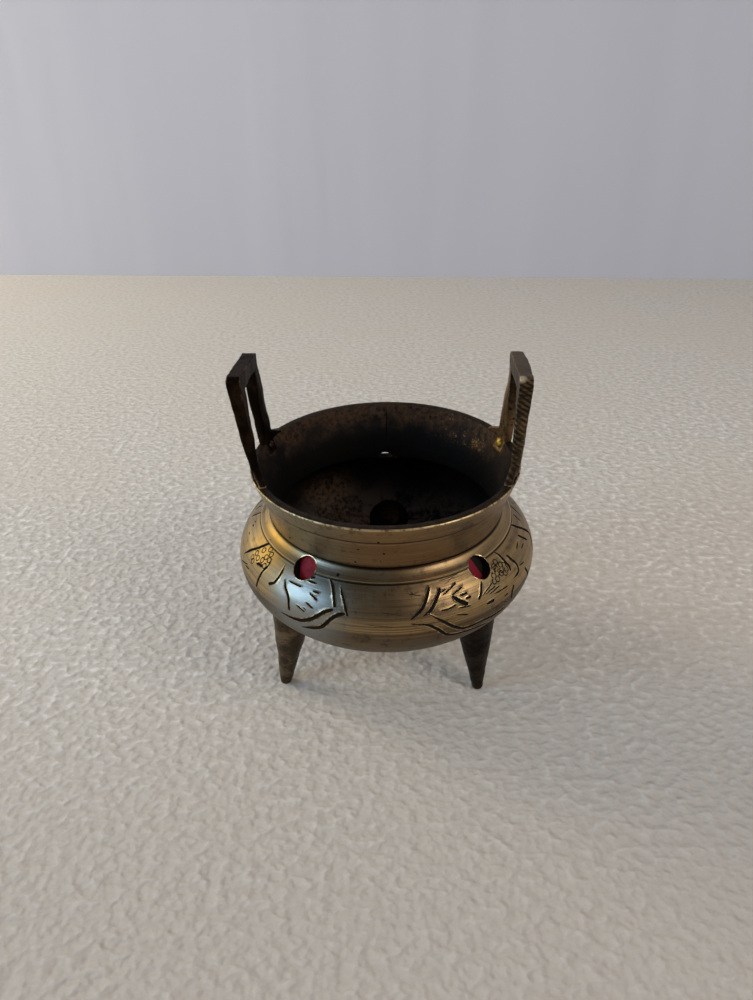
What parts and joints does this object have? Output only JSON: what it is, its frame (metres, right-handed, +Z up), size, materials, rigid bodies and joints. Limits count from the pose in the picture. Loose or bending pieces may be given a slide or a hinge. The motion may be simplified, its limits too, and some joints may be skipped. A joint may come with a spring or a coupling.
{
  "type": "incense burner",
  "caption": "Small tripod incense burner: squat engraved brass bowl with a flared neck, upright loop handles and tapering legs.",
  "frame": {"origin": "on the table under the middle of the bowl", "axes": "+Z up, -Y towards the front, so the handles stand at -X and +X"},
  "size_m": [0.09, 0.09, 0.1028],
  "materials": {
    "worn_brass": "worn polish, turned",
    "dark_bronze": "dark cast, slightly rough",
    "bright_brass": "polished",
    "sooty_bronze": "sooty",
    "red_pane": "smooth, slightly dulled"
  },
  "bodies": {
    "root": {"bowl": "worn_brass", "neck_ring": "worn_brass", "left_handle": "dark_bronze", "right_handle": "dark_bronze", "handle_rivets": "bright_brass", "front_left_leg": "dark_bronze", "front_right_leg": "dark_bronze", "rear_leg": "dark_bronze", "leg_washers": "sooty_bronze", "left_red_pane": "red_pane", "right_red_pane": "red_pane"}
  },
  "joints": []
}
